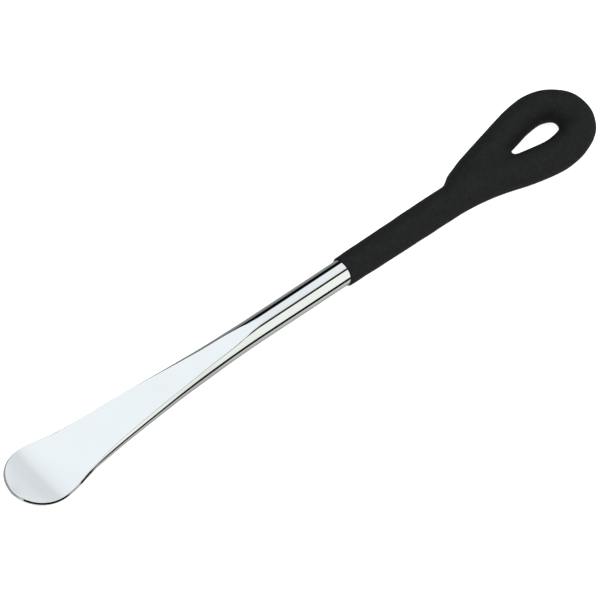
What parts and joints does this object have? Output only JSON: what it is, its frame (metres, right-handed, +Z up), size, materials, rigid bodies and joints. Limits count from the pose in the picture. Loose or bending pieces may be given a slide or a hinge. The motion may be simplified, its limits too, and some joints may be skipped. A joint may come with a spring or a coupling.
{
  "type": "tyre lever",
  "caption": "Spoon-ended steel tyre lever: round bar forged into a thin flared blade, bent back into a closed hanging eye, with a dipped plastic coat on the handle half.",
  "frame": {"origin": "middle of the bounding box's underside, on the surface that the lever lies on", "axes": "+X along the lever from the spoon to the eye; +Z up, out of the blade's flat face; +Y to the side that the bar's end returns on"},
  "size_m": [0.3002, 0.0338, 0.0135],
  "materials": {
    "plated_steel": "polished bright plating",
    "weld_steel": "as welded",
    "dipped_plastic": "matte, very fine pebbled dip coat"
  },
  "bodies": {
    "root": {"forged_lever": "plated_steel", "eye_weld": "weld_steel", "dipped_grip": "dipped_plastic"}
  },
  "joints": []
}
